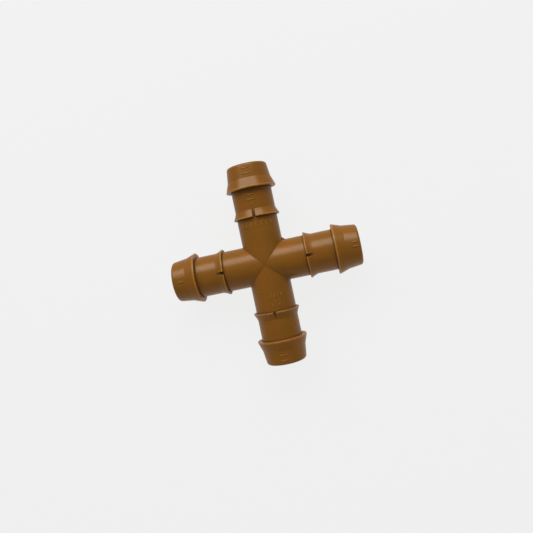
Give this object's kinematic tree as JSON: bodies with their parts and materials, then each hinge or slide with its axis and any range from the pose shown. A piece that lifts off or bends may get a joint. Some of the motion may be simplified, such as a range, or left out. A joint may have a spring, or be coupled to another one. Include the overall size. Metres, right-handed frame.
{
  "type": "barbed cross fitting",
  "caption": "Barbed plastic cross fitting that joins the ends of soft pipes at right angles, with a lip at each mouth and a slotted grip barb behind it.",
  "frame": {"origin": "where the axes of the two water ways cross, in the middle of the hub", "axes": "+X out along the east arm, +Y out along the north arm, +Z out of the plane of the cross, on the side with the raised marks"},
  "size_m": [0.0654, 0.0696, 0.0174],
  "materials": {
    "brown_plastic": "satin, as moulded"
  },
  "bodies": {
    "root": {"hub": "brown_plastic", "gate_vestige": "brown_plastic", "inner_stem_north": "brown_plastic", "grip_barb_north": "brown_plastic", "outer_stem_north": "brown_plastic", "end_barb_north": "brown_plastic", "size_mark_north": "brown_plastic", "inner_stem_east": "brown_plastic", "grip_barb_east": "brown_plastic", "outer_stem_east": "brown_plastic", "end_barb_east": "brown_plastic", "size_mark_east": "brown_plastic", "inner_stem_south": "brown_plastic", "grip_barb_south": "brown_plastic", "outer_stem_south": "brown_plastic", "end_barb_south": "brown_plastic", "size_mark_south": "brown_plastic", "inner_stem_west": "brown_plastic", "grip_barb_west": "brown_plastic", "outer_stem_west": "brown_plastic", "end_barb_west": "brown_plastic", "size_mark_west": "brown_plastic", "cavity_mark": "brown_plastic", "mark_row_north": "brown_plastic", "mark_row_south": "brown_plastic"}
  },
  "joints": []
}
